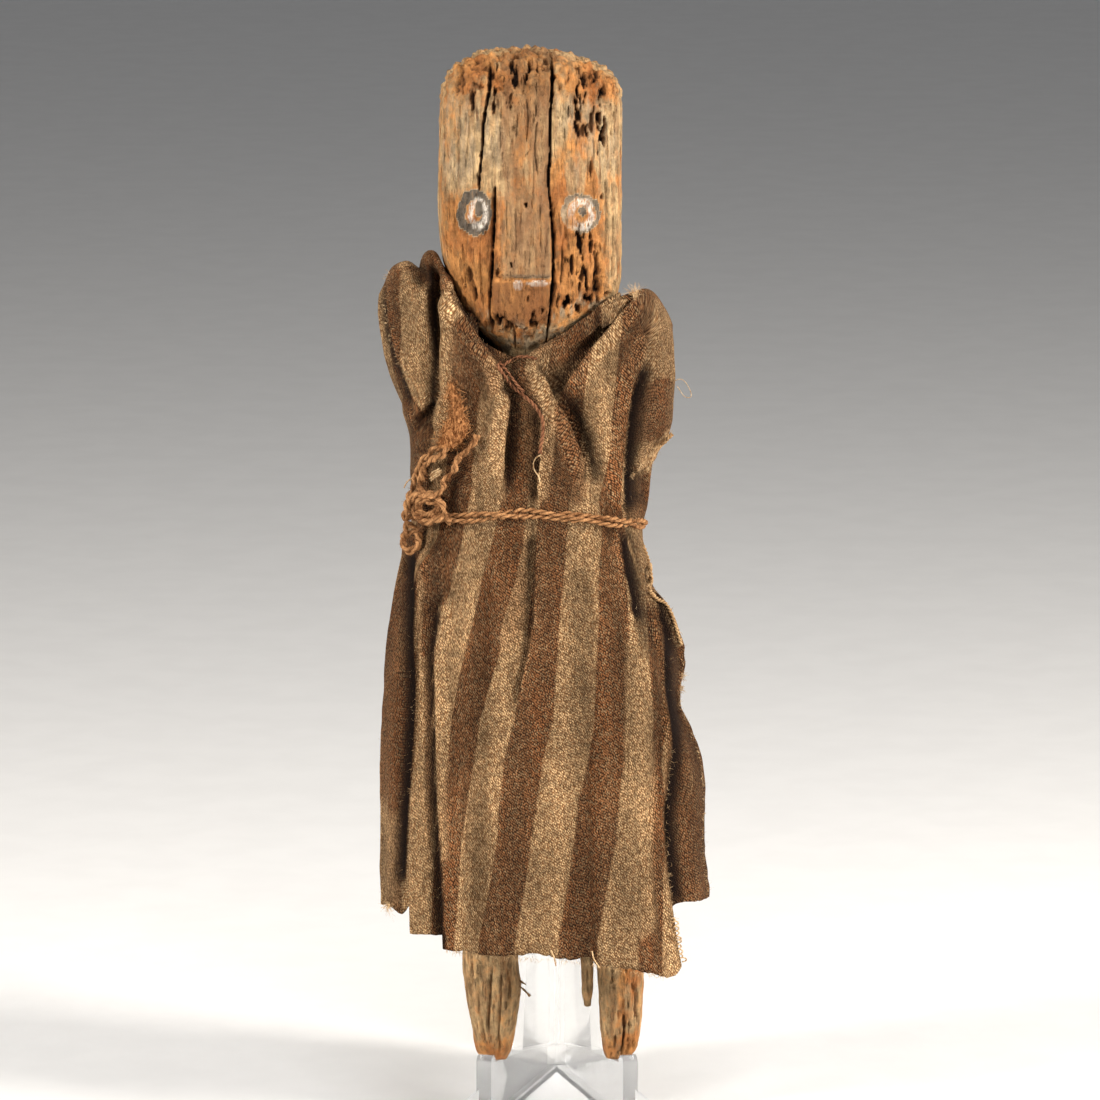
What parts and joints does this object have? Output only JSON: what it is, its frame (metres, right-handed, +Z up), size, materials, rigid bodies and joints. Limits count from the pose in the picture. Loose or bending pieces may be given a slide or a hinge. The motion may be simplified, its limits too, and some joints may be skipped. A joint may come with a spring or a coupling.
{
  "type": "wooden burial figure",
  "caption": "Carved wooden burial figure with a block head and stub legs, in a striped wool tunic with a cord belt, leaning on a clear plastic display easel.",
  "frame": {"origin": "on the floor, in the middle of the easel's underside below its spine", "axes": "+Z up, the figure faces -Y and leans back towards +Y, +X to the viewer's right"},
  "size_m": [0.1058, 0.0937, 0.3478],
  "materials": {
    "weathered_wood": "old dry wood, cracked and pitted, traces of orange and grey paint",
    "striped_wool": "hand-woven wool in tan, dark brown and reddish brown stripes",
    "belt_wool": "plied brown wool cord",
    "reddish_wool": "thin reddish plied thread",
    "orange_wool": "loose orange-brown wool",
    "clear_plastic": "clear moulded plastic, smooth and shiny"
  },
  "bodies": {
    "root": {"carved_wooden_figure": "weathered_wood", "striped_wool_tunic": "striped_wool", "belt_cord": "belt_wool", "belt_cord_loop": "belt_wool", "belt_cord_coil": "belt_wool", "belt_cord_strands": "belt_wool", "neck_thread": "reddish_wool", "orange_wool_tuft": "orange_wool", "clear_easel": "clear_plastic"}
  },
  "joints": []
}
